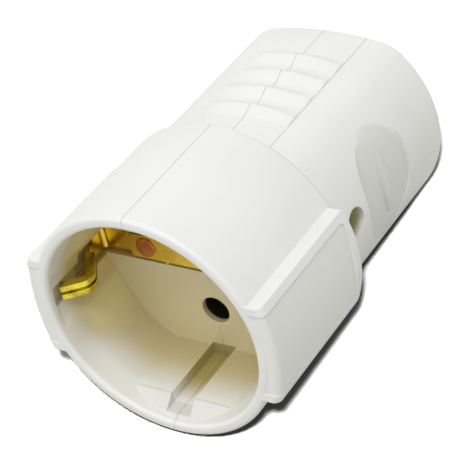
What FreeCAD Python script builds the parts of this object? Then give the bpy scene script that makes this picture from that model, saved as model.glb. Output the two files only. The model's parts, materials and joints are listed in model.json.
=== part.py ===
import FreeCAD, Part

import math
import os

from FreeCAD import Vector

# Inline socket connector for round-pin plugs with side earth clips, in millimetres.
# The origin is the centre of the mouth. +Y runs along the socket axis towards the cable, +Z is up.
# Two half shells meet on the plane x = 0, and the pins stand one above the other on that plane.

# Recess that takes the plug
recess_r = 19.75
recess_depth = 17.8
guide_flat_z = 17.3
guide_start = 1.2
guide_ramp = 2.8
guide_groove_half = 2.3
guide_groove_z = 19.3
pin_pitch = 19.0
pin_hole_r = 2.65
pin_hole_land = 1.3
pin_relief_r = 3.3
partition = 4.6

# Sleeve round the recess, and the cone that leads down to the handle
sleeve_wall = 2.15
sleeve_length = 27.6
rim_round = 0.8
shoulder_run = 5.2
shoulder_round = 1.0

# Wings at the sides of the sleeve, each with a sunk panel
wing_wall = 2.3
wing_half = 9.4
wing_length = 27.5
wing_corner = 0.6
wing_front_round = 1.2
wing_edge_round = 0.4
panel_depth = 0.7
panel_r = 40.0
panel_setback = 0.2
panel_border = 1.45
panel_corner = 1.0

# Round handle, nearly flat on top and underneath
handle_r = 20.4
handle_half_z = 17.2
handle_crown_r = 62.0
handle_corner = 8.0
handle_end = 67.3
handle_wall = 2.2
rear_wall = 2.4
rear_round = 1.3
inlet_r = 5.25
inlet_chamfer = 0.5

# Grip pads with ridges, on the top and the underside of the handle
pad_half = 8.35
pad_rise = 0.15
pad_stop = 1.4
ridge_count = 4
ridge_first = 39.4
ridge_pitch = 5.5
ridge_height = 1.15
ridge_end_height = 0.35
ridge_front_run = 2.4
ridge_back_run = 1.9
ridge_crest_round = 0.7

# Thumb recesses in the sides of the handle, each with an upright rib
thumb_y = 46.2
thumb_z = 1.4
thumb_half_y = 7.5
thumb_half_z = 10.4
thumb_front_depth = 1.2
thumb_back_depth = 0.5
thumb_floor_r = 29.0
thumb_rib_half_y = 1.3
thumb_rib_half_z = 6.0
thumb_rib_height = 0.5
thumb_rib_round = 18.0

# Fits between the pieces
parting_gap = 0.06
slip = 0.1
loose = 0.15
close = 0.02

# Sheet brass of the earth path
strap_thick = 0.8
strap_z = 1.2
strap_half_z = 2.4
strap_half_x = 15.0
strap_side_gap = 0.4
tail_x = -8.0
tail_half_z = 1.6
tail_reach = 3.2
clip_thick = 0.7
clip_root_x = 10.2
clip_wall_x = 21.7
clip_knee_y = 14.3
clip_apex = (17.05, 7.8)
clip_tip = (20.8, 4.6)
clip_bend_r = 1.5
finger_half_z = 1.3
flange_height = 0.9
flange_start = 0.15
crease_half_z = 0.3
rivet_x = 11.8
rivet_head_r = 1.9
rivet_head = 0.3
rivet_shank_r = 0.9
rivet_tail_r = 1.35
rivet_tail = 0.6

# Pockets in the side walls for the earth clips
pocket_x = 22.3
pocket_start = 10.0
finger_slot_half_z = 1.8
finger_slot_x = 21.7
finger_slot_start = 1.5
relief_half_z = 5.4
relief_depth = 0.9

# Pin contacts and terminals
contact_r = 3.1
contact_bore_r = 2.45
contact_length = 13.4
contact_slit = 0.7
contact_slit_length = 9.0
contact_spigot_r = 1.7
contact_spigot = 3.0
terminal_half_x = 3.5
terminal_half_z = 3.7
terminal_length = 8.0
terminal_edge = 0.5
wire_bore_r = 1.7
wire_bore_depth = 4.4
terminal_screw_back = 2.8
earth_block_half = 3.4
earth_block_length = 7.0
earth_block_setback = 0.5

# Inner walls of the shells
bulkhead_gap = 5.0
bulkhead_thick = 1.8
window_half_x = 12.6
window_half_z = 4.4
rest_rib_thick = 1.6
rest_rib_half_z = 2.5
rest_rib_inset = 0.6
peg_r = 1.0
peg_reach = 2.5
peg_root = 2.0
peg_z = 15.2
rear_peg_r = 0.7
rear_peg_z = 10.0

# Screws and nut
screw_z = 1.5
boss_r = 4.0
boss_gap = 0.3
counterbore_r = 2.6
screw_seat_x = 11.0
screw_shank_r = 1.45
screw_head_r = 2.4
screw_head = 2.2
nut_seat_x = 12.6
nut_sides = 6
nut_flats = 5.5
nut_thick = 2.4
screw_tail = 0.6
small_shank_r = 1.2
small_head_r = 2.2
small_head = 1.6
small_slot = 0.7
small_slot_depth = 0.7
pilot_r = 1.25

# Cable clamp over the cord near the inlet
clamp_setback = 10.1
clamp_half_y = 3.0
clamp_half_z = 13.0
clamp_seat_x = 2.5
clamp_thick = 4.0
clamp_edge = 0.8
clamp_screw_z = 10.0
clamp_boss_r = 2.9
clamp_pilot_depth = 10.0
cord_r = 4.8
saddle_half_y = 1.0
saddle_half_z = 6.5
saddle_top_x = 1.5

# Sizes that follow from the ones above
sleeve_r = recess_r + sleeve_wall
wing_r = sleeve_r + wing_wall
partition_back = recess_depth + partition
cavity_end = handle_end - rear_wall
pad_z = handle_half_z + pad_rise
tail_end = partition_back + tail_reach
bulkhead_start = partition_back + bulkhead_gap
earth_block_start = partition_back + earth_block_setback
earth_block_end = earth_block_start + earth_block_length
earth_screw_y = earth_block_end - terminal_screw_back + slip
screw_y = earth_block_end + boss_gap + boss_r
clamp_y = handle_end - clamp_setback
pin_z = pin_pitch / 2
channel_z = (strap_z - strap_half_z - strap_side_gap, strap_z + strap_half_z + strap_side_gap)
strap_front = recess_depth + slip
strap_back = strap_front + strap_thick
clip_mid_y = strap_back + clip_thick / 2
clip_back = strap_back + clip_thick
contact_start = partition_back + slip
contact_end = contact_start + contact_length
terminal_end = contact_end + terminal_length
pin_screw_y = terminal_end - terminal_screw_back
far = 2 * handle_end
tiny = 1e-6

os.makedirs("parts", exist_ok=True)


def box(x, y, z):
    """Block between three pairs of limits."""
    return Part.makeBox(x[1] - x[0], y[1] - y[0], z[1] - z[0], Vector(x[0], y[0], z[0]))


def rod_x(radius, x, y, z):
    """Round bar along X between two x limits."""
    return Part.makeCylinder(radius, x[1] - x[0], Vector(x[0], y, z), Vector(1, 0, 0))


def rod_y(radius, y, x=0.0, z=0.0):
    """Round bar along Y between two y limits."""
    return Part.makeCylinder(radius, y[1] - y[0], Vector(x, y[0], z), Vector(0, 1, 0))


def outline(corners, place):
    """Closed face through corners (u, v, rounding), put in space by place(u, v)."""
    bends = []
    for i, (u, v, rounding) in enumerate(corners):
        here = Vector(u, v, 0)
        before = Vector(*corners[i - 1][:2], 0) - here
        after = Vector(*corners[(i + 1) % len(corners)][:2], 0) - here
        half = before.getAngle(after) / 2
        middle = (before.normalize() + after.normalize()).normalize()
        reach = rounding / math.tan(half)
        crown = here + middle * (rounding / math.sin(half) - rounding)
        bends.append((here + before * reach, crown, here + after * reach, rounding))
    edges = []
    for i, (enter, crown, leave, rounding) in enumerate(bends):
        following = bends[(i + 1) % len(bends)][0]
        if rounding > 0:
            points = [place(p.x, p.y) for p in (enter, crown, leave)]
            edges.append(Part.Arc(*points).toShape())
        if (following - leave).Length > tiny:
            edges.append(Part.makeLine(place(leave.x, leave.y), place(following.x, following.y)))
    return Part.Face(Part.Wire(edges))


def turned(corners):
    """Solid of revolution about the socket axis, from corners (radius, y, rounding)."""
    face = outline(corners, lambda radius, y: Vector(radius, y, 0))
    return face.revolve(Vector(0, 0, 0), Vector(0, 1, 0), 360)


def across(corners, x):
    """Prism along X between two limits, from corners (y, z, rounding)."""
    face = outline(corners, lambda y, z: Vector(x[0], y, z))
    return face.extrude(Vector(x[1] - x[0], 0, 0))


def along(corners, y):
    """Prism along Y between two limits, from corners (x, z, rounding)."""
    face = outline(corners, lambda x, z: Vector(x, y[0], z))
    return face.extrude(Vector(0, y[1] - y[0], 0))


def rectangle(centre, half, rounding):
    """Corners of a rectangle with rounded corners."""
    signs = ((-1, -1), (1, -1), (1, 1), (-1, 1))
    return [(centre[0] + u * half[0], centre[1] + v * half[1], rounding) for u, v in signs]


def handle_core(inset, y):
    """The handle's flattened round section, set in from the outside, between two y limits."""
    crown_z = handle_half_z - handle_crown_r
    core = rod_y(handle_r - inset, y)
    for z in (crown_z, -crown_z):
        core = core.common(rod_y(handle_crown_r - inset, y, 0, z))
    corners = [e for e in core.Edges if e.BoundBox.ZLength < close and e.BoundBox.XLength < close
               and abs(e.CenterOfMass.x) > close]
    return core.makeFillet(handle_corner - inset, corners)


def both_sides(solid):
    """A solid and its mirror image on the other side of the parting plane."""
    return [solid, solid.mirror(Vector(0, 0, 0), Vector(1, 0, 0))]


def top_and_bottom(solid):
    """A solid and its copy turned half a turn about the socket axis."""
    return [solid, solid.rotated(Vector(0, 0, 0), Vector(0, 1, 0), 180)]


def strip(points, near, far_side, z):
    """Bent strip in plan: points (x, y), between two offsets to the left of the path and two z limits."""
    sides = []
    for offset in (near, far_side):
        side = []
        for i, point in enumerate(points):
            here = Vector(*point, 0)
            normals = []
            if i > 0:
                run = (here - Vector(*points[i - 1], 0)).normalize()
                normals.append(Vector(-run.y, run.x, 0))
            if i < len(points) - 1:
                run = (Vector(*points[i + 1], 0) - here).normalize()
                normals.append(Vector(-run.y, run.x, 0))
            mitre = normals[0] + normals[-1]
            moved = here + mitre * (2 * offset / mitre.dot(mitre))
            bent = len(normals) == 2
            turn = normals[0].cross(normals[-1]).z
            radius = clip_bend_r - offset * math.copysign(1, turn) if bent else 0
            side.append((moved.x, moved.y, max(radius, 0)))
        sides.append(side)
    face = outline(sides[0] + sides[1][::-1], lambda x, y: Vector(x, y, z[0]))
    return face.extrude(Vector(0, 0, z[1] - z[0]))


def slotted_screw(seat, shank_r, length, head_r, head):
    """Screw along X with its head towards +X; seat is the point under the head."""
    shaft = rod_x(shank_r, (seat.x - length, seat.x), seat.y, seat.z)
    cap = rod_x(head_r, (seat.x, seat.x + head), seat.y, seat.z)
    top = seat.x + head
    half = small_slot / 2
    slot = box((top - small_slot_depth, top + head), (seat.y - half, seat.y + half),
               (seat.z - head_r, seat.z + head_r))
    return shaft.fuse(cap).cut(slot)


def hexagon_x(flats, x, y, z):
    """Hexagonal bar along X."""
    corner_r = flats / 2 / math.cos(math.pi / nut_sides)
    angles = [2 * math.pi * i / nut_sides for i in range(nut_sides)]
    corners = [(y + corner_r * math.cos(a), z + corner_r * math.sin(a), 0) for a in angles]
    return across(corners, x)


def wing():
    """Right-hand wing: a plate bent round the sleeve, with a flatter panel sunk in."""
    root = math.sqrt(sleeve_r ** 2 - wing_half ** 2) - sleeve_wall
    edge = [(0, -wing_half, 0), (0, wing_half, 0),
            (wing_length, wing_half, wing_corner), (wing_length, -wing_half, wing_corner)]
    bent = turned([(0, 0, 0), (wing_r, 0, wing_front_round), (wing_r, far, 0), (0, far, 0)])
    plate = across(edge, (root, wing_r + wing_wall)).common(bent)
    outer = max(plate.Faces, key=lambda face: face.Area)
    rim = [e for e in outer.Edges if e.CenterOfMass.y > wing_front_round + wing_edge_round]
    plate = plate.makeFillet(wing_edge_round, rim)
    high = wing_half - panel_border
    back = wing_length - panel_border
    window = [(-wing_wall, -high, 0), (-wing_wall, high, 0),
              (back, high, panel_corner), (back, -high, panel_corner)]
    floor = turned([(0, panel_setback, 0), (panel_r, panel_setback, wing_front_round - panel_setback),
                    (panel_r, far, 0), (0, far, 0)])
    floor = floor.translated(Vector(wing_r - panel_depth - panel_r, 0, 0))
    return plate.cut(across(window, (root, wing_r + wing_wall)).cut(floor))


def grip_pad():
    """Raised pad on the crown of the handle, with ridges that are highest in the middle."""
    base = handle_half_z - handle_wall
    stop = handle_end - pad_stop
    width = (-pad_half, pad_half)
    pad_r = handle_crown_r + pad_rise
    pad = box(width, (sleeve_length, stop), (base, far)).common(
        rod_y(pad_r, (sleeve_length, stop), 0, handle_half_z - handle_crown_r))
    pad_edge = handle_half_z - handle_crown_r + math.sqrt(pad_r ** 2 - pad_half ** 2)
    drop = pad_z + ridge_height - pad_edge - ridge_end_height
    ridge_r = (pad_half ** 2 + drop ** 2) / (2 * drop)
    crown = rod_y(ridge_r, (sleeve_length, stop), 0, pad_z + ridge_height - ridge_r)
    spread = (pad_z + ridge_height - base) / ridge_height
    ridges = []
    for i in range(ridge_count):
        crest = ridge_first + i * ridge_pitch
        profile = [(crest - ridge_front_run * spread, base, 0), (crest, pad_z + ridge_height, ridge_crest_round),
                   (crest + ridge_back_run * spread, base, 0)]
        ridges.append(across(profile, width).common(crown))
    return pad.fuse(ridges)


def thumb_recess():
    """Cut for the right-hand thumb recess: an upright arch, flatter than the handle, with a leaf-shaped rib."""
    arch = across(rectangle((thumb_y, thumb_z), (thumb_half_y, thumb_half_z), thumb_half_y), (0, far))
    lean = Vector(thumb_front_depth - thumb_back_depth, 2 * thumb_half_y, 0)
    front = Vector(handle_r - thumb_front_depth - thumb_floor_r, thumb_y - thumb_half_y, 0)
    floor = Part.makeCylinder(thumb_floor_r, far, front - lean, lean)
    leaf = [(thumb_y, thumb_z - thumb_rib_half_z, 0), (thumb_y + thumb_rib_half_y, thumb_z, thumb_rib_round),
            (thumb_y, thumb_z + thumb_rib_half_z, 0), (thumb_y - thumb_rib_half_y, thumb_z, thumb_rib_round)]
    rib = across(leaf, (0, far)).common(floor.translated(Vector(thumb_rib_height, 0, 0)))
    return arch.cut([floor, rib])


def outer_body():
    """The whole outside of the housing as one solid, before it is hollowed and parted."""
    cone_r = sleeve_r - shoulder_run
    cone_end = sleeve_length + shoulder_run
    sleeve = turned([(0, 0, 0), (sleeve_r, 0, rim_round), (sleeve_r, sleeve_length, shoulder_round),
                     (cone_r, cone_end, 0), (0, cone_end, 0)])
    handle = handle_core(0, (recess_depth, handle_end))
    rear = [e for e in handle.Edges if abs(e.CenterOfMass.y - handle_end) < close
            and abs(e.BoundBox.YLength) < close]
    handle = handle.makeFillet(rear_round, rear)
    body = sleeve.fuse([handle] + both_sides(wing()) + top_and_bottom(grip_pad()))
    return body.removeSplitter().cut(both_sides(thumb_recess()))


def plug_space():
    """What the plug fills: the round recess with a rounded mouth, narrowed by two guide flats."""
    mouth_r = recess_r + rim_round
    round_part = turned([(0, -rim_round, 0), (mouth_r, -rim_round, 0), (mouth_r, 0, 0),
                         (recess_r, 0, 0), (recess_r, recess_depth, 0), (0, recess_depth, 0)])
    ring = turned([(recess_r - rim_round, -rim_round, 0), (mouth_r, -rim_round, 0), (mouth_r, rim_round, 0),
                   (recess_r - rim_round, rim_round, 0)])
    lip = Part.makeTorus(mouth_r, rim_round, Vector(0, rim_round, 0), Vector(0, 1, 0))
    space = round_part.fuse(ring.cut(lip))
    ramp_end = guide_start + guide_ramp
    flat = across([(guide_start, recess_r, 0), (ramp_end, guide_flat_z, 0),
                   (recess_depth, guide_flat_z, 0), (recess_depth, recess_r, 0)], (-recess_r, recess_r))
    groove = box((-guide_groove_half, guide_groove_half), (0, far), (0, guide_groove_z))
    return space.cut(top_and_bottom(flat.cut(groove)))


def earth_space():
    """The strap's channel across the recess floor, with the clip pockets at its ends."""
    cuts = [box((-pocket_x, pocket_x), (recess_depth - slip, strap_back), channel_z)]
    inner_x = recess_r - sleeve_wall
    seat = box((clip_root_x - loose, pocket_x), (recess_depth, clip_back), channel_z)
    pocket = box((inner_x, pocket_x), (pocket_start, recess_depth), channel_z)
    slot = box((inner_x, finger_slot_x), (finger_slot_start, recess_depth),
               (-finger_slot_half_z, finger_slot_half_z))
    edge_x = math.sqrt(recess_r ** 2 - relief_half_z ** 2)
    bulge = recess_r + relief_depth - edge_x
    relief_r = (relief_half_z ** 2 + bulge ** 2) / (2 * bulge)
    relief = rod_y(relief_r, (finger_slot_start, recess_depth), edge_x + bulge - relief_r)
    cuts += both_sides(seat) + both_sides(pocket) + both_sides(slot) + both_sides(relief)
    tail_half = strap_thick / 2 + loose
    cuts.append(box((tail_x - tail_half, tail_x + tail_half), (strap_back - slip, partition_back + slip),
                    (-tail_half_z - loose, tail_half_z + loose)))
    hidden_head = rod_y(rivet_tail_r + loose, (clip_back - slip, clip_back + rivet_tail + slip), rivet_x, strap_z)
    return cuts + both_sides(hidden_head)


def hollow():
    """The space behind the recess floor, before any inner walls stand in it."""
    inner_r = sleeve_r - handle_wall
    cone_start = sleeve_length - handle_wall * (math.sqrt(2) - 1)
    cone_end = cone_start + shoulder_run
    front = turned([(0, partition_back, 0), (inner_r, partition_back, 0), (inner_r, cone_start, 0),
                    (inner_r - shoulder_run, cone_end, 0), (0, cone_end, 0)])
    return front.fuse(handle_core(handle_wall, (partition_back, cavity_end)))


def inner_walls():
    """Walls that both shells share: a bulkhead, the screw boss and rests for the terminals."""
    slab = box((-far, far), (bulkhead_start, bulkhead_start + bulkhead_thick), (-far, far))
    window = box((-window_half_x, window_half_x), (0, far), (-window_half_z, window_half_z))
    seats = [rod_y(contact_r + slip, (0, far), 0, z) for z in (pin_z, -pin_z)]
    walls = [slab.cut([window] + seats), rod_x(boss_r, (-far, far), screw_y, screw_z)]
    rest_x = terminal_half_x + loose
    rest_y = contact_end + rest_rib_inset
    rest = box((rest_x, far), (rest_y, rest_y + rest_rib_thick),
               (pin_z - rest_rib_half_z, pin_z + rest_rib_half_z))
    for side in both_sides(rest):
        walls += top_and_bottom(side)
    return walls


def openings():
    """Cuts that both shells share."""
    land = (recess_depth - slip, recess_depth + pin_hole_land)
    behind = (recess_depth + pin_hole_land, partition_back + slip)
    pin_holes = []
    for z in (pin_z, -pin_z):
        pin_holes += [rod_y(pin_hole_r, land, 0, z), rod_y(pin_relief_r, behind, 0, z)]
    inlet = rod_y(inlet_r, (cavity_end - slip, handle_end + slip))
    chamfer = (handle_end - inlet_chamfer, handle_end + inlet_chamfer)
    mouth = turned([(0, chamfer[0], 0), (inlet_r, chamfer[0], 0),
                    (inlet_r + 2 * inlet_chamfer, chamfer[1], 0), (0, chamfer[1], 0)])
    return [plug_space(), inlet, mouth] + earth_space() + pin_holes


def peg_places():
    """Radius, y and z of the four locating pegs on the parting plane."""
    middle = recess_depth + partition / 2
    rear = cavity_end + rear_wall / 2
    return [(peg_r, middle, peg_z), (peg_r, middle, -peg_z),
            (rear_peg_r, rear, rear_peg_z), (rear_peg_r, rear, -rear_peg_z)]


def housing_right(body):
    """Right half shell, with the counterbore for the screw head and holes for the pegs."""
    half = body.common(box((parting_gap / 2, far), (-far, far), (-far, far)))
    cuts = openings() + [hollow().cut(inner_walls())]
    cuts.append(rod_x(counterbore_r, (screw_seat_x, far), screw_y, screw_z))
    cuts.append(rod_x(screw_shank_r + loose, (0, far), screw_y, screw_z))
    for radius, y, z in peg_places():
        cuts.append(rod_x(radius + slip, (0, peg_reach + loose), y, z))
    return half.cut(cuts)


def housing_left(body):
    """Left half shell, with the nut pocket, the pegs, and the saddle and bosses of the cable clamp."""
    half = body.common(box((-far, -parting_gap / 2), (-far, far), (-far, far)))
    saddle = box((-far, -saddle_top_x), (clamp_y - saddle_half_y, clamp_y + saddle_half_y),
                 (-saddle_half_z, saddle_half_z))
    saddle = saddle.cut(rod_y(cord_r, (0, far)))
    cuts = openings() + [hollow().cut(inner_walls() + [saddle])]
    cuts.append(hexagon_x(nut_flats + 2 * slip, (-far, -nut_seat_x), screw_y, screw_z))
    cuts.append(rod_x(screw_shank_r + loose, (-far, 0), screw_y, screw_z))
    half = half.cut(cuts)
    posts = [rod_x(radius, (-peg_root, peg_reach), y, z) for radius, y, z in peg_places()]
    core = handle_core(handle_wall / 2, (recess_depth, handle_end))
    for z in (clamp_screw_z, -clamp_screw_z):
        boss = rod_x(clamp_boss_r, (-far, clamp_seat_x), clamp_y, z)
        posts.append(boss.common(core))
    pilots = [rod_x(pilot_r, (clamp_seat_x - clamp_pilot_depth, clamp_seat_x), clamp_y, z)
              for z in (clamp_screw_z, -clamp_screw_z)]
    return half.fuse(posts).cut(pilots)


def earth_strap():
    """Flat strap across the recess floor, with a tail that runs back to the earth terminal."""
    section = rectangle((0, strap_z), (strap_half_x, strap_half_z), 2 * slip)
    bar = along(section, (strap_front, strap_back))
    half = strap_thick / 2
    tail = box((tail_x - half, tail_x + half), (strap_front, tail_end), (-tail_half_z, tail_half_z))
    hole = rod_y(rivet_shank_r + close, (strap_front - slip, strap_back + slip), rivet_x, strap_z)
    return bar.fuse(tail).cut(both_sides(hole))


def earth_clip():
    """Right-hand earth clip: a spring strip whose folded finger presses on the plug's side."""
    half = clip_thick / 2
    run_end = clip_knee_y + clip_bend_r
    base_path = [(clip_root_x, clip_mid_y), (clip_wall_x, clip_mid_y), (clip_wall_x, run_end)]
    knee = Vector(clip_wall_x, clip_knee_y, 0)
    finger_path = [(clip_wall_x, run_end + clip_thick), (knee.x, knee.y), clip_apex, clip_tip]
    stiff = knee + (Vector(*clip_apex, 0) - knee) * flange_start
    flange_path = [(stiff.x, stiff.y), clip_apex, clip_tip]
    base = strip(base_path, -half, half, (strap_z - strap_half_z, strap_z + strap_half_z))
    finger = strip(finger_path, -half, half, (-finger_half_z, finger_half_z))
    flanges = strip(flange_path, -half - flange_height, close - half, (-finger_half_z, finger_half_z))
    crease = strip(flange_path, -half - flange_height - close, -half, (-crease_half_z, crease_half_z))
    hole = rod_y(rivet_shank_r + close, (0, far), rivet_x, strap_z)
    return base.fuse([finger, flanges.cut(crease)]).cut(hole)


def earth_rivet():
    """Right-hand rivet through strap and clip, with a low head on each side."""
    top = strap_front
    tail = clip_back + rivet_tail
    return turned([(0, top - rivet_head, 0), (rivet_head_r, top - rivet_head, rivet_head / 2),
                   (rivet_head_r, top, 0), (rivet_shank_r, top, 0), (rivet_shank_r, clip_back, 0),
                   (rivet_tail_r, clip_back, 0), (rivet_tail_r, tail, rivet_tail / 2), (0, tail, 0)]
                  ).translated(Vector(rivet_x, 0, strap_z))


def pin_contact():
    """Slotted sleeve that grips one pin, with a spigot for its terminal, on the socket axis."""
    barrel = rod_y(contact_r, (contact_start, contact_end))
    spigot = rod_y(contact_spigot_r, (contact_end, contact_end + contact_spigot))
    floor = contact_end - terminal_edge
    lead = turned([(0, contact_start, 0), (contact_r - slip, contact_start, 0),
                   (contact_bore_r, contact_start + contact_r - contact_bore_r, 0),
                   (contact_bore_r, floor, 0), (0, floor, 0)])
    half = contact_slit / 2
    slit = box((-half, half), (contact_start - slip, contact_start + contact_slit_length),
               (-contact_r, contact_r))
    return barrel.fuse(spigot).cut([lead, slit])


def pin_terminal():
    """Brass block behind one contact: spigot hole, wire bore and screw hole, on the socket axis."""
    section = rectangle((0, 0), (terminal_half_x, terminal_half_z), terminal_edge)
    block = along(section, (contact_end, terminal_end))
    spigot = rod_y(contact_spigot_r + close, (contact_end - slip, contact_end + contact_spigot + slip))
    wire = rod_y(wire_bore_r, (terminal_end - wire_bore_depth, terminal_end + slip))
    thread = rod_x(pilot_r, (0, far), pin_screw_y, 0)
    return block.cut([spigot, wire, thread])


def earth_terminal():
    """Brass block on the strap's tail, with its wire bore and screw hole."""
    section = rectangle((tail_x, 0), (earth_block_half, earth_block_half), terminal_edge)
    block = along(section, (earth_block_start, earth_block_end))
    half = strap_thick / 2 + close
    slot = box((tail_x - half, tail_x + half), (earth_block_start - slip, tail_end + slip),
               (-tail_half_z - close, tail_half_z + close))
    wire = rod_y(wire_bore_r, (tail_end + slip, earth_block_end + slip), tail_x)
    thread = rod_x(pilot_r, (tail_x, tail_x + far), earth_screw_y, 0)
    return block.cut([slot, wire, thread])


def cable_clamp():
    """Moulded bridge that presses the cord on its saddle."""
    x = (clamp_seat_x, clamp_seat_x + clamp_thick)
    bridge = across(rectangle((clamp_y, 0), (clamp_half_y, clamp_half_z), clamp_edge), x)
    holes = [rod_x(pilot_r + loose, (0, far), clamp_y, z) for z in (clamp_screw_z, -clamp_screw_z)]
    return bridge.cut(holes + [rod_y(cord_r, (0, far))])


def terminal_screw(face_x, y, z):
    """Wire screw with its head on a terminal's face."""
    length = terminal_half_x - loose
    return slotted_screw(Vector(face_x, y, z), small_shank_r, length, small_head_r, small_head)


def clamp_screw(z):
    """One of the two screws of the cable clamp."""
    seat = Vector(clamp_seat_x + clamp_thick, clamp_y, z)
    length = clamp_thick + clamp_pilot_depth - loose
    return slotted_screw(seat, small_shank_r, length, small_head_r, small_head)


def housing_screw():
    """The screw that holds the shells together."""
    length = screw_seat_x + nut_seat_x + nut_thick + screw_tail
    return slotted_screw(Vector(screw_seat_x, screw_y, screw_z), screw_shank_r, length, screw_head_r, screw_head)


def housing_nut():
    """Hexagon nut in the left shell."""
    x = (-nut_seat_x - nut_thick, -nut_seat_x)
    nut = hexagon_x(nut_flats, x, screw_y, screw_z)
    return nut.cut(rod_x(screw_shank_r + close, (-far, 0), screw_y, screw_z))


def at_pin(solid, z):
    """A pin's piece moved from the socket axis to its pin."""
    return solid.translated(Vector(0, 0, z))


body = outer_body()
clips = both_sides(earth_clip())
rivets = both_sides(earth_rivet())

pieces = {
    "housing_left": housing_left(body),
    "housing_right": housing_right(body),
    "earth_strap": earth_strap(),
    "earth_clip_right": clips[0],
    "earth_clip_left": clips[1],
    "earth_rivet_right": rivets[0],
    "earth_rivet_left": rivets[1],
    "earth_terminal": earth_terminal(),
    "earth_terminal_screw": terminal_screw(tail_x + earth_block_half, earth_screw_y, 0),
    "line_contact": at_pin(pin_contact(), pin_z),
    "neutral_contact": at_pin(pin_contact(), -pin_z),
    "line_terminal": at_pin(pin_terminal(), pin_z),
    "neutral_terminal": at_pin(pin_terminal(), -pin_z),
    "line_terminal_screw": terminal_screw(terminal_half_x, pin_screw_y, pin_z),
    "neutral_terminal_screw": terminal_screw(terminal_half_x, pin_screw_y, -pin_z),
    "cable_clamp": cable_clamp(),
    "cable_clamp_screw_upper": clamp_screw(clamp_screw_z),
    "cable_clamp_screw_lower": clamp_screw(-clamp_screw_z),
    "housing_screw": housing_screw(),
    "housing_nut": housing_nut(),
}

for name, piece in pieces.items():
    solids = piece.Solids
    print(name, len(solids), "solid", round(piece.Volume, 1), "mm3", piece.isValid())
    piece.exportStep("parts/" + name + ".step")
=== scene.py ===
# %% [markdown]
# # Inline socket connector
# The construction comes from the CAD model: two moulded half shells, the brass earth path, the pin
# contacts and the fasteners. This lesson gives those pieces their surfaces, sets them on a floor and
# lights them the way a plain product picture is lit. Lengths are in metres, in the CAD's own frame:
# the origin is the centre of the mouth, +Y runs into the socket and +Z is up.

# %% Load the frame
import json
import math
from functools import partial

import bmesh
import bpy
import numpy as np
from mathutils import Matrix, Vector


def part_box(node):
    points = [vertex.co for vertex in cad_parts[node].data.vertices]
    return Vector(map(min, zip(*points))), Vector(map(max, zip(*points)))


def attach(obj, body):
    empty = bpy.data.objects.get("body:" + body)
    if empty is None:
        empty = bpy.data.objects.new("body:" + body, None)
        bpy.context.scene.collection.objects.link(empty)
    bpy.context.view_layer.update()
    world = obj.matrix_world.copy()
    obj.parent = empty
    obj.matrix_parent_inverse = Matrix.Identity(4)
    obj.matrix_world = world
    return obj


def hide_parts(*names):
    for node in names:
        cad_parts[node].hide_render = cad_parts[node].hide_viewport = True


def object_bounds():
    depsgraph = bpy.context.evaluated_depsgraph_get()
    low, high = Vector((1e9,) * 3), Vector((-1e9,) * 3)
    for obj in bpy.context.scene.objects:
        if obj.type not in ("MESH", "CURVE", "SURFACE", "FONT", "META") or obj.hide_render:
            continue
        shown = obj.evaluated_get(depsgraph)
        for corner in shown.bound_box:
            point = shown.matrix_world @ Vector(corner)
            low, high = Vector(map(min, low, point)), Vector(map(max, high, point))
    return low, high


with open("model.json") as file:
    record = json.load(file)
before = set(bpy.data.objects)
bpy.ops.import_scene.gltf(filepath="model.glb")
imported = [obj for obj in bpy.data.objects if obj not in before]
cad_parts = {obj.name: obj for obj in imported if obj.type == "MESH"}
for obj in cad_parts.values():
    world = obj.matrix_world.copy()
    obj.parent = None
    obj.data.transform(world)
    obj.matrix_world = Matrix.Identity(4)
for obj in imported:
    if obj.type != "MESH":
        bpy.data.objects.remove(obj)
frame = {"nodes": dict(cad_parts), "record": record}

MM = 0.001
cad_box = [list(corner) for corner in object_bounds()]
nodes = frame["nodes"]


def in_mm(lengths):
    """Lengths in millimetres, rounded for printing."""
    return [round(length / MM, 2) for length in lengths]


print("nodes:", len(nodes), "box in mm:", [in_mm(corner) for corner in cad_box])

# %% [markdown]
# ## Camera
# The camera could be placed by eye, but then every comparison with the picture would be off a little.
# So the viewpoint was found by fitting a pinhole camera to the mouth, the sleeve, the wings and the
# handle together. It stands above and to the right of the mouth, and the picture is turned a little,
# so the camera has a roll as well as a direction. A long lens keeps the far end nearly as wide as the
# mouth.

# %% Camera direction
CAMERA_PLACE = Vector((152.55, -171.78, 174.39)) * MM
CAMERA_AZIMUTH = math.radians(37.438)
CAMERA_ELEVATION = math.radians(34.887)
CAMERA_ROLL = math.radians(12.415)


def camera_matrix(place, azimuth, elevation, roll):
    """World matrix of a camera that looks along a direction, with the picture turned by roll."""
    level = math.cos(elevation)
    back = Vector((math.sin(azimuth) * level, -math.cos(azimuth) * level, math.sin(elevation)))
    right = (-back).cross(Vector((0, 0, 1))).normalized()
    down = (-back).cross(right)
    x = right * math.cos(roll) + down * math.sin(roll)
    y = right * math.sin(roll) - down * math.cos(roll)
    turn = Matrix((x, y, back)).transposed().to_4x4()
    return Matrix.Translation(place) @ turn


camera_turn = camera_matrix(CAMERA_PLACE, CAMERA_AZIMUTH, CAMERA_ELEVATION, CAMERA_ROLL)
print("camera stands at mm:", in_mm(camera_turn.translation))

# %% Camera
PICTURE_PIXELS = 470
FOCAL_PIXELS = 1800
SENSOR_MM = 36.0
NEAREST_SEEN = 0.01


def new_object(name, data):
    """Object with this data, put into the scene."""
    thing = bpy.data.objects.new(name, data)
    bpy.context.scene.collection.objects.link(thing)
    return thing


camera_data = bpy.data.cameras.new("camera")
camera_data.sensor_width = SENSOR_MM
camera_data.lens = FOCAL_PIXELS / PICTURE_PIXELS * SENSOR_MM
camera_data.clip_start = NEAREST_SEEN
camera = new_object("camera", camera_data)
camera.matrix_world = camera_turn
bpy.context.scene.camera = camera
print("lens mm:", round(camera_data.lens, 2))

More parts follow.
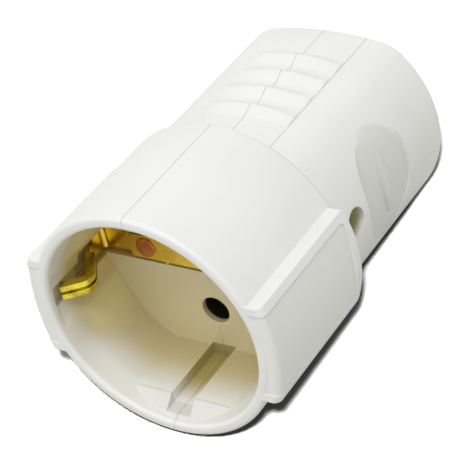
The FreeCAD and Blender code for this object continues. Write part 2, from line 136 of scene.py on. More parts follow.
# %% [markdown]
# ## Floor
# The connector lies on the round of its sleeve and tips back until the handle's end touches. A level
# plane under the lowest point would leave the handle in the air, so the floor is laid under exactly
# those two places: it is the lowest edge of the side view's outline that spans the middle of the body.

# %% Where the connector touches the floor
OUTLINE_DECIMALS = 6


def lower_outline(points):
    """Lower part of the convex outline of points (y, z), from small y to large."""
    hull = []
    for p in sorted(set(map(tuple, np.round(points, OUTLINE_DECIMALS)))):
        while len(hull) > 1:
            a, b = hull[-2], hull[-1]
            if (b[0] - a[0]) * (p[1] - a[1]) - (b[1] - a[1]) * (p[0] - a[0]) > 0:
                break
            hull.pop()
        hull.append(p)
    return hull


side_points = np.array([(point.co.y, point.co.z) for shell in ("housing_left", "housing_right")
                        for point in nodes[shell].data.vertices])
outline = lower_outline(side_points)
body_middle = (cad_box[0][1] + cad_box[1][1]) / 2
front, rear = next(edge for edge in zip(outline, outline[1:]) if edge[1][0] > body_middle)
floor_tilt = math.atan2(rear[1] - front[1], rear[0] - front[0])
print("touches at y mm:", in_mm((front[0], rear[0])), "tilt:", round(math.degrees(floor_tilt), 2))

# %% Floor plane
FLOOR_SIZE = 3.0
half = FLOOR_SIZE / 2
floor_corners = [(-half, -half, 0), (half, -half, 0), (half, half, 0), (-half, half, 0)]
floor_turn = Matrix.Translation((0, *front)) @ Matrix.Rotation(floor_tilt, 4, "X")
floor_mesh = bpy.data.meshes.new("floor")
floor_mesh.from_pydata([floor_turn @ Vector(c) for c in floor_corners], [], [(0, 1, 2, 3)])
floor = new_object("floor", floor_mesh)
print("floor:", FLOOR_SIZE, "m wide, under the sleeve at z mm:", round(front[1] / MM, 2))

# %% [markdown]
# ## Node helpers
# Every finish below is a small node tree, and so are the grip ridges. The trees could be wired by hand
# in the editor; written as code they can be read and repeated. These helpers keep them short: some add
# a node, feed its sockets and do sums, and the others make soft steps, noise, colour mixes and bumps.


# %% Nodes and sums
def add(tree, kind, inputs=None, **settings):
    """A new node with its settings, and its input values from a dictionary."""
    node = tree.nodes.new(kind)
    for name, value in settings.items():
        setattr(node, name, value)
    for name, value in (inputs or {}).items():
        node.inputs[name].default_value = value
    return node


def feed(tree, value, socket):
    """Links a value that is a socket, and sets any other."""
    if isinstance(value, bpy.types.NodeSocket):
        tree.links.new(value, socket)
    else:
        socket.default_value = value


def math_node(tree, operation, *values):
    """Result of one sum; the values are sockets or numbers."""
    node = add(tree, "ShaderNodeMath", operation=operation)
    for socket, value in zip(node.inputs, values):
        feed(tree, value, socket)
    return node.outputs[0]


def all_of(tree, *masks):
    """Product of masks."""
    product = masks[0]
    for mask in masks[1:]:
        product = math_node(tree, "MULTIPLY", product, mask)
    return product


def xyz(tree, place):
    """The three coordinates of a place."""
    split = add(tree, "ShaderNodeSeparateXYZ")
    tree.links.new(place, split.inputs[0])
    return split.outputs


print("helpers:", [helper.__name__ for helper in (add, feed, math_node, all_of, xyz)])


# %% Steps, noise and colours
MIX_COLOURS = (6, 7)
MIX_RESULT = 2


def ramp_between(tree, value, low, high):
    """Smooth step from 0 at low to 1 at high."""
    node = add(tree, "ShaderNodeMapRange", {"From Min": low, "From Max": high},
               interpolation_type="SMOOTHSTEP")
    tree.links.new(value, node.inputs["Value"])
    return node.outputs["Result"]


def spread(tree, value, to, start=(0.0, 1.0)):
    """The value carried evenly from the start span to another, and held at its ends."""
    node = add(tree, "ShaderNodeMapRange", {"From Min": start[0], "From Max": start[1],
                                            "To Min": to[0], "To Max": to[1]})
    tree.links.new(value, node.inputs["Value"])
    return node.outputs["Result"]


def noise(tree, place, scale, detail=2.0, roughness=0.5):
    """Noise over a place."""
    node = add(tree, "ShaderNodeTexNoise",
               {"Scale": scale, "Detail": detail, "Roughness": roughness})
    tree.links.new(place, node.inputs["Vector"])
    return node.outputs["Fac"]


def mix_colours(tree, factor, a, b):
    """Colour mix; a and b are sockets or colours."""
    node = add(tree, "ShaderNodeMix", data_type="RGBA")
    tree.links.new(factor, node.inputs["Factor"])
    for index, value in zip(MIX_COLOURS, (a, b)):
        feed(tree, (*value, 1) if isinstance(value, tuple) else value, node.inputs[index])
    return node.outputs[MIX_RESULT]


print("helpers:", [helper.__name__ for helper in (ramp_between, spread, noise, mix_colours)])


# %% Materials
def new_material(name):
    """Material with nothing in its tree but its Principled shader and output."""
    material = bpy.data.materials.new(name)
    material.use_nodes = True
    return material, material.node_tree, material.node_tree.nodes["Principled BSDF"]


def own_place(tree):
    """Object coordinates, which stay on the piece wherever it is seen from."""
    return add(tree, "ShaderNodeTexCoord").outputs["Object"]


def bumped(tree, height, strength, depth):
    """Bump node that raises the surface by a height."""
    bump = add(tree, "ShaderNodeBump", {"Strength": strength, "Distance": depth})
    tree.links.new(height, bump.inputs["Height"])
    return bump


print("helpers:", [helper.__name__ for helper in (new_material, own_place, bumped)])

# %% [markdown]
# ## Moulded white plastic
# The shells are a satin white moulding. Seen close it isn't one flat colour: the melt leaves faint
# clouds and the tool's surface a very fine grain. Light and shade are painted into the colour too: the
# mouth is painted whitest as painted light, and the thumb recess and the ramps are a light grey of
# painted shade. Further in, a warm cream painted shade deepens towards the back of the recess. It is
# painted paler on the left wall as painted light, and the floor is a paler cream shade. Round the
# brass the pockets and the channel are painted brown, a painted shade tinted like a reflection of the
# brass, and the guide grooves, the screw hole and the pin holes are painted dark as painted shade.
# These could be painted on a map of the surface. Here each is a zone with soft limits along
# coordinates of the object, so it needs no map, and it sits on the object and not in the picture.

# %% Places on the shells, in millimetres
RECESS_R = 19.75
RECESS_DEPTH = 17.8
THUMB_CENTRE = (46.2, 1.4)
THUMB_HALF = (7.5, 10.4)


def middle(node):
    """Centre of a CAD node's box, in millimetres."""
    low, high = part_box(node)
    return (Vector(low) + Vector(high)) / 2 / MM


pin_axis = middle("line_contact")
screw_axis = middle("housing_screw")
strap_low, strap_high = (Vector(corner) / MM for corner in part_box("earth_strap"))
print("pin axis z mm:", round(pin_axis.z, 2), "screw y, z mm:", [round(v, 2) for v in screw_axis.yz])

# %% [markdown]
# A zone is a colour and its limits, in millimetres. A limit names a coordinate and gives two numbers,
# where the zone begins and where it is full, or three: the span in which it is full, and the soft edge
# on both sides of the span. The zones are laid on in this order, each over those before it.

# %% Zones of the shells
INSIDE = ("radius", RECESS_R + 0.9, RECESS_R - 0.1)
# Limits of the warm cream painted shade, which deepens towards the back of the recess.
RECESS_SHADE_LIMITS = (INSIDE, ("reach", 4.6, 0.75 * RECESS_DEPTH), ("y", RECESS_DEPTH + 6, RECESS_DEPTH + 2))
CLIP_RELIEF = (("radius", RECESS_R + 0.1, 23, 0.3), ("z", -4.0, 4.6, 2.0), ("y", 8.5, 21, 6.5))
# Brown painted shade in the clip pocket and the strap channel, tinted like a reflection of the brass.
SHADE_NEAR_BRASS = (0.620, 0.480, 0.190)
ZONES = {
    # Painted shade: the thumb recess is painted a light grey.
    "thumb recess": ((0.735, 0.736, 0.712), ("thumb", 1.06, 0.96), ("side", 14, 16)),
    # Painted light: the inside of the mouth is painted whiter than the rest.
    "mouth": ((0.890, 0.895, 0.880), INSIDE, ("y", 0.8, 4, 3), ("height", 8, 14)),
    # Painted shade: the ramps are painted a light grey.
    "ramps": ((0.755, 0.758, 0.738), INSIDE, ("y", 1.0, 4.2, 0.3), ("height", 16.6, 16.9),
              ("radius", RECESS_R - 0.02, RECESS_R - 0.10)),
    # Painted shade: a warm cream that deepens towards the back of the recess.
    "recess wall": ((0.625, 0.545, 0.305), *RECESS_SHADE_LIMITS),
    # Painted light: the left wall of the recess is painted paler than the rest of it.
    "left wall": ((0.820, 0.730, 0.405), *RECESS_SHADE_LIMITS, ("x", -9, -15), ("y", 4, 9), ("z", -14, -8)),
    # Painted shade: the recess floor in a paler cream.
    "recess floor": ((0.750, 0.668, 0.418), INSIDE,
                     ("y", RECESS_DEPTH - 0.2, RECESS_DEPTH + 0.5, 0.5)),
    # Painted shade round the clip relief, in an ochre tint like a reflection of the brass.
    "clip relief": ((0.740, 0.610, 0.310), *CLIP_RELIEF),
    # Painted shade in the clip pocket, brown like a reflection of the brass.
    "clip pocket": (SHADE_NEAR_BRASS, *CLIP_RELIEF, ("radius", RECESS_R + 0.7, RECESS_R + 1.4)),
    # Painted shade in the strap channel, brown like a reflection of the brass.
    "strap channel": (SHADE_NEAR_BRASS, ("y", RECESS_DEPTH + 0.1, 20.5, 0.1), ("radius", 22.9, 22.5),
                      ("z", strap_low.z - 0.6, strap_high.z + 0.6, 0.1)),
    # Painted shade: the guide grooves are painted a dark brown.
    "guide groove": ((0.460, 0.370, 0.145), ("side", 2.45, 2.2), ("height", 17.2, 21, 0.2),
                     ("y", 12, 19, 7)),
    # Painted shade: the screw hole is painted olive.
    "screw hole": ((0.540, 0.555, 0.320), ("screw", 3.4, 2.7), ("side", 20.2, 18.6)),
    # Painted shade: the pin holes are painted near black.
    "pin holes": ((0.020, 0.018, 0.014), ("pin", 3.7, 3.5), ("y", RECESS_DEPTH + 1.2, 24, 0.4)),
}
print("zones:", list(ZONES))

# %% Coordinates of the zones
# Beside the clips the painted recess shade reaches further forward.
FORWARD_BAND = (14, 7)
FORWARD_REACH = 4.6


def from_point(tree, pair, centre, sizes=(1, 1)):
    """Distance of a pair of sockets from a centre, in parts of the sizes."""
    squares = []
    for socket, origin, size in zip(pair, centre, sizes):
        offset = math_node(tree, "DIVIDE", math_node(tree, "SUBTRACT", socket, origin), size)
        squares.append(math_node(tree, "MULTIPLY", offset, offset))
    return math_node(tree, "SQRT", math_node(tree, "ADD", *squares))


def zone_coordinates(tree, place):
    """The sockets that limits name, in millimetres; thumb is 1 at the edge of the thumb recess."""
    scaled = add(tree, "ShaderNodeVectorMath", {"Scale": 1 / MM}, operation="SCALE")
    tree.links.new(place, scaled.inputs[0])
    x, y, z = xyz(tree, scaled.outputs[0])
    side, height = (math_node(tree, "ABSOLUTE", socket) for socket in (x, z))
    beside_clips = ramp_between(tree, height, *FORWARD_BAND)
    forward = math_node(tree, "MULTIPLY", beside_clips, FORWARD_REACH)
    return {"x": x, "y": y, "z": z, "side": side, "height": height,
            "reach": math_node(tree, "ADD", y, forward),
            "radius": from_point(tree, (x, z), (0, 0)),
            "pin": from_point(tree, (x, height), (0, pin_axis.z)),
            "screw": from_point(tree, (y, z), screw_axis.yz),
            "thumb": from_point(tree, (y, z), THUMB_CENTRE, THUMB_HALF)}


print("the yellow reaches", FORWARD_REACH, "mm further forward beside the clips")


# %% White plastic
WHITE = (0.830, 0.830, 0.817)
WHITE_CLOUD = (0.798, 0.800, 0.782)
CLOUD_SPAN = (0.35, 0.75)
SATIN = (0.34, 0.46)
EDGE_RADIUS = 0.14 * MM
PLASTIC_IOR = 1.5


def zone_mask(tree, coordinates, limits):
    """Product of the soft limits of a zone."""
    steps = []
    for name, low, high, *edge in limits:
        spans = [(low - edge[0], low), (high + edge[0], high)] if edge else [(low, high)]
        steps += [ramp_between(tree, coordinates[name], *span) for span in spans]
    return all_of(tree, *steps)


def shell_material():
    """White moulding with its zones, its satin grain and its softened edges."""
    material, tree, shader = new_material("white_moulding")
    place = own_place(tree)
    clouds = ramp_between(tree, noise(tree, place, scale=55.0, detail=3.0), *CLOUD_SPAN)
    colour = mix_colours(tree, clouds, WHITE, WHITE_CLOUD)
    coordinates = zone_coordinates(tree, place)
    # Each zone lays on its tone: painted shade in the recess, its pockets, grooves and holes and the
    # thumb recess, and painted light at the mouth and on the left wall.
    for zone_tone, *limits in ZONES.values():
        colour = mix_colours(tree, zone_mask(tree, coordinates, limits), colour, zone_tone)
    tree.links.new(colour, shader.inputs["Base Color"])
    satin = spread(tree, noise(tree, place, scale=120.0, detail=4.0), SATIN)
    tree.links.new(satin, shader.inputs["Roughness"])
    grain = bumped(tree, noise(tree, place, scale=2600.0), strength=0.05, depth=0.04 * MM)
    soft_edges = add(tree, "ShaderNodeBevel", {"Radius": EDGE_RADIUS}, samples=6)
    tree.links.new(soft_edges.outputs["Normal"], grain.inputs["Normal"])
    tree.links.new(grain.outputs["Normal"], shader.inputs["Normal"])
    shader.inputs["IOR"].default_value = PLASTIC_IOR
    return material


white_moulding = shell_material()
print("made", white_moulding.name, "with", len(white_moulding.node_tree.nodes), "nodes")

# %% [markdown]
# ## Metals
# The earth path is rolled spring brass: warm yellow, a little dull, with lengthwise rolling marks,
# darker patches where it has tarnished, and browner deep in the recess. The rivets are copper. The
# contacts and terminals are turned brass, and the screws are steel with the yellowish film of
# passivated zinc. An anisotropic shader could draw the marks as a sheen alone; noise that is drawn out
# along one axis also shows them as fine lines, so one recipe does for all four metals.

# %% Metal recipe
PATCH_SPAN = (0.38, 0.68)
BROWN_DEPTH = (15.5 * MM, 23.5 * MM)
BROWN_UNEVEN = 5 * MM


def metal_material(name, colour, tarnish, patches, rough, marks, stretch, browned=None):
    """Metal with tarnish patches and drawn-out marks, browned deep in the recess if asked."""
    material, tree, shader = new_material(name)
    place = own_place(tree)
    patchy = noise(tree, place, patches, detail=4.0, roughness=0.6)
    tint = mix_colours(tree, ramp_between(tree, patchy, *PATCH_SPAN), colour, tarnish)
    if browned:
        uneven = math_node(tree, "MULTIPLY", noise(tree, place, patches), BROWN_UNEVEN)
        depth = math_node(tree, "ADD", xyz(tree, place)["Y"], uneven)
        tint = mix_colours(tree, ramp_between(tree, depth, *BROWN_DEPTH), tint, browned)
    tree.links.new(tint, shader.inputs["Base Color"])
    drawn = add(tree, "ShaderNodeMapping", {"Scale": stretch})
    tree.links.new(place, drawn.inputs["Vector"])
    lines = noise(tree, drawn.outputs["Vector"], marks, detail=3.0)
    tree.links.new(spread(tree, lines, rough), shader.inputs["Roughness"])
    bump = bumped(tree, lines, strength=0.15, depth=0.03 * MM)
    tree.links.new(bump.outputs["Normal"], shader.inputs["Normal"])
    shader.inputs["Metallic"].default_value = 1.0
    return material


print("tarnish patches between noise levels", PATCH_SPAN)

# %% Metals
METALS = {
    "spring_brass": dict(colour=(0.84, 0.73, 0.075), tarnish=(0.42, 0.30, 0.045), patches=330,
                         rough=(0.14, 0.34), marks=900, stretch=(0.2, 1, 3),
                         browned=(0.79, 0.51, 0.09)),
    "rivet_copper": dict(colour=(0.60, 0.24, 0.08), tarnish=(0.38, 0.14, 0.05), patches=500,
                         rough=(0.25, 0.45), marks=1500, stretch=(1, 1, 1)),
    "turned_brass": dict(colour=(0.78, 0.62, 0.26), tarnish=(0.60, 0.45, 0.18), patches=200,
                         rough=(0.2, 0.35), marks=1400, stretch=(1, 4, 1)),
    "zinc_steel": dict(colour=(0.58, 0.56, 0.34), tarnish=(0.40, 0.38, 0.20), patches=300,
                       rough=(0.3, 0.5), marks=1200, stretch=(4, 1, 1)),
}
metals = {name: metal_material(name, **recipe) for name, recipe in METALS.items()}
print("metals:", list(metals))

# %% [markdown]
# ## Clamp plastic
# The cable clamp is a small grey moulding inside the handle, seen only through the inlet. It is duller
# than the shells, and clouds between two greys are all the detail that it needs.

# %% Clamp plastic
CLAMP_GREYS = ((0.62, 0.62, 0.60), (0.70, 0.70, 0.68))
CLAMP_ROUGHNESS = 0.55
clamp_plastic, clamp_tree, clamp_shader = new_material("clamp_moulding")
clamp_clouds = noise(clamp_tree, own_place(clamp_tree), scale=180.0, detail=4.0)
clamp_tint = mix_colours(clamp_tree, clamp_clouds, *CLAMP_GREYS)
clamp_tree.links.new(clamp_tint, clamp_shader.inputs["Base Color"])
clamp_shader.inputs["Roughness"].default_value = CLAMP_ROUGHNESS
print("made", clamp_plastic.name)

# %% [markdown]
# ## Grip ridges
# Four ridges cross the pad on the top and on the underside of the handle. They are worn soft: a long
# front slope, a shorter back, a round crest that is highest at the parting line and sinks towards both
# ends. They repeat at one pitch over a crowned surface, so a Geometry Nodes tree makes them: it finds
# the points of the pads by their place and sets each at the height that the rule gives. Sculpting
# would not keep the pitch. The pads are first cut into a fine grid, because a flat CAD facet has no
# points inside it to set.

# %% Ridge sizes
RIDGE = {"First Crest": 39.4 * MM, "Pitch": 5.5 * MM, "Count": 4, "Height": 1.15 * MM,
         "Front Run": 2.4 * MM, "Back Run": 1.9 * MM, "End Share": 0.3,
         "Pad Half Width": 8.35 * MM, "Pad Radius": 62.15 * MM, "Pad Top": 17.35 * MM}
CUT_MARGIN = 0.6 * MM
row_length = RIDGE["Pitch"] * (RIDGE["Count"] - 1)
cut_span = (RIDGE["First Crest"] - RIDGE["Front Run"] - CUT_MARGIN,
            RIDGE["First Crest"] + row_length + RIDGE["Back Run"] + CUT_MARGIN)
print("grid from y mm:", in_mm(cut_span))

# %% Cut the pads
GRID_STEP = (0.7 * MM, 0.22 * MM)
CUT_TOLERANCE = 1e-7
ON_PAD = 0.02 * MM
PAD_SPAN = (31 * MM, 66 * MM)
SIDEWAYS_NORMAL = 0.9


def pad_height(x):
    """Height of the pads' crowned surface at x."""
    return RIDGE["Pad Top"] - RIDGE["Pad Radius"] + math.sqrt(RIDGE["Pad Radius"] ** 2 - x * x)


def on_pad(face):
    """True for a face of the pads' upper surface."""
    return abs(face.normal.x) <= SIDEWAYS_NORMAL and all(
        abs(x) <= RIDGE["Pad Half Width"] + ON_PAD and PAD_SPAN[0] < y < PAD_SPAN[1]
        and abs(z) >= pad_height(x) - ON_PAD for x, y, z in (corner.co for corner in face.verts))


def cut_pads(bm):
    """Cuts the pads' faces along a fine grid in x and y."""
    faces = [face for face in bm.faces if on_pad(face)]
    edges = dict.fromkeys(edge for face in faces for edge in face.edges)
    points = dict.fromkeys(point for face in faces for point in face.verts)
    geometry = [*faces, *edges, *points]
    across = np.arange(-RIDGE["Pad Half Width"], RIDGE["Pad Half Width"], GRID_STEP[0])
    along = np.arange(*cut_span, GRID_STEP[1])
    cuts = [((x, 0, 0), (1, 0, 0)) for x in across] + [((0, y, 0), (0, 1, 0)) for y in along]
    for place, direction in cuts:
        cut = bmesh.ops.bisect_plane(bm, geom=geometry, dist=CUT_TOLERANCE, plane_co=place,
                                     plane_no=direction)
        geometry = cut["geom"]


print("grid steps mm:", in_mm(GRID_STEP))

# %% Rule of the ridges
CREST_ROUND = 0.45
FOOT_ROUND = 0.2


def ridge_height(calc, given, x, y):
    """Height of the ridges above the pad, and a mask over the length of their row."""
    runs = calc("ADD", given["Front Run"], given["Back Run"])
    gap = calc("SUBTRACT", given["Pitch"], runs)
    lead = calc("ADD", given["Front Run"], calc("DIVIDE", gap, 2.0))
    from_start = calc("ADD", calc("SUBTRACT", y, given["First Crest"]), lead)
    phase = calc("SUBTRACT", calc("FLOORED_MODULO", from_start, given["Pitch"]), lead)
    rise = calc("ADD", calc("DIVIDE", phase, given["Front Run"]), 1.0)
    fall = calc("SUBTRACT", 1.0, calc("DIVIDE", phase, given["Back Run"]))
    wave = calc("SMOOTH_MAX", calc("SMOOTH_MIN", rise, fall, CREST_ROUND), 0.0, FOOT_ROUND)
    from_middle = calc("DIVIDE", x, given["Pad Half Width"])
    sink = calc("MULTIPLY", calc("MULTIPLY", from_middle, from_middle),
                calc("SUBTRACT", 1.0, given["End Share"]))
    height = calc("MULTIPLY", calc("MULTIPLY", wave, given["Height"]), calc("SUBTRACT", 1.0, sink))
    row_end = calc("MULTIPLY", given["Count"], given["Pitch"])
    in_row = calc("MULTIPLY", calc("GREATER_THAN", from_start, 0.0),
                  calc("LESS_THAN", from_start, row_end))
    return height, in_row


def pad_surface(calc, given, x):
    """The same height as pad_height, in nodes."""
    square = calc("MULTIPLY", given["Pad Radius"], given["Pad Radius"])
    reach = calc("SQRT", calc("SUBTRACT", square, calc("MULTIPLY", x, x)))
    return calc("ADD", calc("SUBTRACT", given["Pad Top"], given["Pad Radius"]), reach)


print("pad height mm in the middle and at its side:",
      in_mm((pad_height(0), pad_height(RIDGE["Pad Half Width"]))))


# %% Ridge tree
def ridge_tree():
    """Geometry Nodes tree that sets the pads' points on a row of soft ridges."""
    tree = bpy.data.node_groups.new("grip_ridges", "GeometryNodeTree")
    kinds = {"Geometry": "NodeSocketGeometry", **dict.fromkeys(RIDGE, "NodeSocketFloat"),
             "Material": "NodeSocketMaterial"}
    for name, kind in kinds.items():
        tree.interface.new_socket(name, in_out="INPUT", socket_type=kind)
    tree.interface.new_socket("Geometry", in_out="OUTPUT", socket_type="NodeSocketGeometry")
    given = add(tree, "NodeGroupInput").outputs
    calc = partial(math_node, tree)
    x, y, z = xyz(tree, add(tree, "GeometryNodeInputPosition").outputs[0])
    ridge, in_row = ridge_height(calc, given, x, y)
    pad = pad_surface(calc, given, x)
    above = calc("GREATER_THAN", calc("ABSOLUTE", z), calc("SUBTRACT", pad, ON_PAD))
    pad_side = calc("ADD", given["Pad Half Width"], ON_PAD)
    beside = calc("LESS_THAN", calc("ABSOLUTE", x), pad_side)
    height = calc("MULTIPLY", calc("ADD", pad, ridge), calc("SIGN", z))
    place = add(tree, "ShaderNodeCombineXYZ")
    for socket, value in zip(place.inputs, (x, y, height)):
        tree.links.new(value, socket)
    lift = add(tree, "GeometryNodeSetPosition")
    tree.links.new(given["Geometry"], lift.inputs["Geometry"])
    tree.links.new(all_of(tree, in_row, above, beside), lift.inputs["Selection"])
    tree.links.new(place.outputs[0], lift.inputs["Position"])
    real = add(tree, "GeometryNodeRealizeInstances")
    tree.links.new(lift.outputs[0], real.inputs[0])
    coat = add(tree, "GeometryNodeSetMaterial")
    tree.links.new(real.outputs[0], coat.inputs["Geometry"])
    tree.links.new(given["Material"], coat.inputs["Material"])
    tree.links.new(coat.outputs[0], add(tree, "NodeGroupOutput").inputs[0])
    return tree


grip_ridges = ridge_tree()
print("grip_ridges:", len(grip_ridges.nodes), "nodes,", len(RIDGE), "sizes")


# %% Ridges on a shell
def with_ridges(mesh, material):
    """Plain mesh of a shell with the ridges set by the tree."""
    worker = new_object("shell_with_pads", mesh)
    maker = worker.modifiers.new("grip_ridges", "NODES")
    maker.node_group = grip_ridges
    for socket in grip_ridges.interface.items_tree:
        if socket.in_out == "INPUT" and socket.name in RIDGE:
            maker[socket.identifier] = float(RIDGE[socket.name])
        elif socket.in_out == "INPUT" and socket.name == "Material":
            maker[socket.identifier] = material
    graph = bpy.context.evaluated_depsgraph_get()
    ridged = bpy.data.meshes.new_from_object(worker.evaluated_get(graph))
    worker.modifiers.remove(maker)
    bpy.data.objects.remove(worker)
    print("ridges set on", mesh.name, "points:", len(mesh.vertices))
    return ridged


# %% [markdown]
# ## Piece surfaces
# The CAD solids arrive as loose triangles. For a moulding that would show every facet, so each node is
# copied, its doubled points are merged, and its shading is smoothed across the gentle edges only, with
# the large flat faces weighing most. A subdivision surface would be smoother still, but would shrink
# the solid's exact edges. The shells part on a hairline gap; inside, at the recess floor and behind
# it, they meet, as interlocking edges do, so that no light shows through. But for that and the soft
# ridges, the shape stays that of the CAD solid.

# %% Shells that meet inside
MERGE_DISTANCE = 1e-6
PARTING_GAP = 0.06 * MM
MEET_SPAN = ((RECESS_DEPTH - 0.5) * MM, (RECESS_DEPTH + 20) * MM)
MEET_HALF = 17 * MM


def merged(mesh):
    """The mesh in bmesh form, with its doubled points merged."""
    bm = bmesh.new()
    bm.from_mesh(mesh)
    bmesh.ops.remove_doubles(bm, verts=bm.verts, dist=MERGE_DISTANCE)
    return bm


def close_inside(bm):
    """Lets the shells meet inside, where their parting gap would let light through."""
    for point in bm.verts:
        x, y, z = point.co
        if abs(x) < PARTING_GAP and MEET_SPAN[0] < y < MEET_SPAN[1] and abs(z) < MEET_HALF:
            point.co.x = 0


def soft_shell(mesh, material):
    """Mesh of a shell that is closed inside and has its ridges."""
    bm = merged(mesh)
    close_inside(bm)
    cut_pads(bm)
    bm.to_mesh(mesh)
    bm.free()
    return with_ridges(mesh, material)


print("the shells meet from y mm:", in_mm(MEET_SPAN))

# %% Smooth copies
SHARP_ANGLE = math.radians(28)
FLAT_FACE_WEIGHT = 50


def shade(mesh):
    """Merges the mesh's points and smooths its shading across the gentle edges."""
    bm = merged(mesh)
    for face in bm.faces:
        face.smooth = True
    for edge in bm.edges:
        edge.smooth = len(edge.link_faces) == 2 and edge.calc_face_angle(0) < SHARP_ANGLE
    bm.to_mesh(mesh)
    bm.free()
    if "custom_normal" in mesh.attributes:
        mesh.attributes.remove(mesh.attributes["custom_normal"])


def smooth_copy(node, material, slot):
    """Copy of a CAD node with merged points and smooth shading, which stands for the node."""
    mesh = nodes[node].data.copy()
    if slot == "shell":
        mesh = soft_shell(mesh, material)
    shade(mesh)
    mesh.materials.clear()
    mesh.materials.append(material)
    piece = new_object(node + "_skin", mesh)
    weigh = piece.modifiers.new("weigh_flat_faces", "WEIGHTED_NORMAL")
    weigh.keep_sharp = True
    weigh.weight = FLAT_FACE_WEIGHT
    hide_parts(node)
    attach(piece, "root")
    return piece


finishes = {"shell": white_moulding, "earth_brass": metals["spring_brass"],
            "rivet_copper": metals["rivet_copper"], "terminal_brass": metals["turned_brass"],
            "screw_steel": metals["zinc_steel"], "clamp_plastic": clamp_plastic}
for part in frame["record"]["subparts"]:
    piece = smooth_copy(part["node"], finishes[part["material_slot"]], part["material_slot"])
    print(piece.name, len(piece.data.polygons), "faces")

# %% [markdown]
# ## Light
# The picture was taken in a white light tent: light comes evenly from above and from the sides, a
# little more of it from above the mouth. Lamps alone would leave hard gaps in what the brass mirrors,
# so the world is a plain white dome, one large soft lamp hangs high in front, and a weak one on the
# front left lifts the mouth. A colour then renders about as it is written.

# %% World
TENT_LIGHT = 0.68


def ray_kinds(tree):
    """Masks for rays from the camera, and for those that gloss or glass sends on."""
    path = add(tree, "ShaderNodeLightPath").outputs
    sent_on = math_node(tree, "MAXIMUM", path["Is Glossy Ray"], path["Is Transmission Ray"])
    return path["Is Camera Ray"], sent_on


world = bpy.data.worlds.new("white_tent")
bpy.context.scene.world = world
world.use_nodes = True
tent_tree = world.node_tree
tent = tent_tree.nodes["Background"]
tent.inputs["Color"].default_value = (1.0, 1.0, 1.0, 1)
seen = math_node(tent_tree, "MAXIMUM", *ray_kinds(tent_tree))
tent_tree.links.new(spread(tent_tree, seen, (TENT_LIGHT, 1.0)), tent.inputs["Strength"])
print("world:", world.name, "lights the body at", TENT_LIGHT)

# %% Lamps
BODY_CENTRE = Vector((0, 0.030, 0))
LAMP_DISTANCE = 0.9
LAMPS = {"high_front": dict(direction=(0.10, -0.42, 0.90), size=0.35, watts=3.3),
         "front_left": dict(direction=(-0.53, -0.73, 0.43), size=0.5, watts=0.3)}


def soft_lamp(name, place, size, watts):
    """Square area lamp that faces the body."""
    data = bpy.data.lights.new(name, "AREA")
    data.size = size
    data.energy = watts
    lamp = new_object(name, data)
    lamp.location = place
    lamp.rotation_euler = (Vector(place) - BODY_CENTRE).to_track_quat("Z", "Y").to_euler()
    return lamp


for name, lamp in LAMPS.items():
    place = BODY_CENTRE + Vector(lamp["direction"]) * LAMP_DISTANCE
    soft_lamp(name, place, lamp["size"], lamp["watts"])
print("lamps:", list(LAMPS))

# %% [markdown]
# ## Floor finish
# The floor is white paper. A plain white material would turn grey away from the lamps, so the paper
# shows white by itself and lets the shadow in only where it belongs. An Ambient Occlusion node
# measures how far the body closes the paper in. Close to the body the camera sees a matt sheet, lit so
# well that it is plain white outside the shadow, and darkest where the body touches it; further out
# the shadow fades into white. What the paper gives back to the body is a warm glow, and gloss shows it
# white; both are weaker where the paper is closed in.

# %% Shadow on the paper
SHADE_OPEN = (0.97, 0.75)
FAR_SHADOW = 0.6
SHADOW_FADE = (125 * MM, 85 * MM)


def shadow_mask(tree, openness):
    """Where the paper shows a shadow: round the body, and fully where it is closed in."""
    close_by = spread(tree, openness, (FAR_SHADOW, 1.0), SHADE_OPEN)
    from_body = add(tree, "ShaderNodeVectorMath", {1: BODY_CENTRE}, operation="DISTANCE")
    tree.links.new(own_place(tree), from_body.inputs[0])
    nearby = ramp_between(tree, from_body.outputs["Value"], *SHADOW_FADE)
    return math_node(tree, "MULTIPLY", close_by, nearby)


print("the shadow fades between mm:", in_mm(SHADOW_FADE))

# %% Paper
PAPER = (0.16, 0.16, 0.16)
PAPER_CONTACT = (0.07, 0.07, 0.07)
PAPER_GLOW = (0.60, 0.60, 0.54)
PAPER_MIRRORED = (1.0, 1.0, 1.0)
SHADE_REACH = 30 * MM
CONTACT_OPEN = (0.50, 0.20)


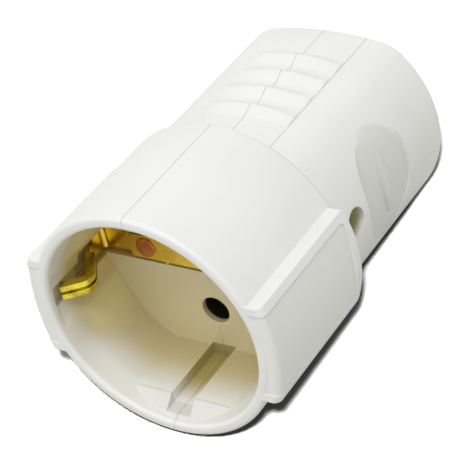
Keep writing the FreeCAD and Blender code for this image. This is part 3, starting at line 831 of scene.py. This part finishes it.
def paper_material():
    """White paper that keeps the body's shadow."""
    material, tree, shader = new_material("white_paper")
    tree.nodes.remove(shader)
    from_camera, from_gloss = ray_kinds(tree)
    closed_in = add(tree, "ShaderNodeAmbientOcclusion", {"Distance": SHADE_REACH}, samples=8)
    openness = closed_in.outputs["AO"]
    matt = add(tree, "ShaderNodeBsdfDiffuse")
    contact = ramp_between(tree, openness, *CONTACT_OPEN)
    tree.links.new(mix_colours(tree, contact, PAPER, PAPER_CONTACT), matt.inputs["Color"])
    glow = add(tree, "ShaderNodeEmission")
    seen_white = math_node(tree, "MAXIMUM", from_camera, from_gloss)
    glow_colour = mix_colours(tree, seen_white, PAPER_GLOW, PAPER_MIRRORED)
    tree.links.new(glow_colour, glow.inputs["Color"])
    tree.links.new(math_node(tree, "MAXIMUM", openness, from_camera), glow.inputs["Strength"])
    shadowed = math_node(tree, "MULTIPLY", from_camera, shadow_mask(tree, openness))
    choose = add(tree, "ShaderNodeMixShader")
    for value, socket in zip((shadowed, glow.outputs[0], matt.outputs[0]), choose.inputs):
        tree.links.new(value, socket)
    tree.links.new(choose.outputs[0], tree.nodes["Material Output"].inputs["Surface"])
    return material


floor_mesh.materials.append(paper_material())
print("floor finish:", floor_mesh.materials[0].name)

# %% [markdown]
# ## Lamp for the paper
# The shadow in the picture is a narrow dark line along the lower right of the body. A lamp for the
# whole scene that threw it would also flatten the body. So a small lamp close to the viewpoint, a
# little up and to the left of it, throws just that line, and it is linked to the floor alone: it
# whitens the paper without adding light to the body.

# %% Lamp for the paper
PAPER_LAMP_SHIFT = Vector((-0.013, 0.030, 0))
paper_lamp = soft_lamp("paper_light", camera_turn @ PAPER_LAMP_SHIFT, size=0.026, watts=32.0)
paper_only = bpy.data.collections.new("paper_only")
paper_only.objects.link(floor)
paper_lamp.light_linking.receiver_collection = paper_only
print(paper_lamp.name, "stands at mm:", in_mm(paper_lamp.location))

# %% [markdown]
# ## View
# The Standard view shows colours as they are written, without a film curve.

# %% View
bpy.context.scene.view_settings.view_transform = "Standard"
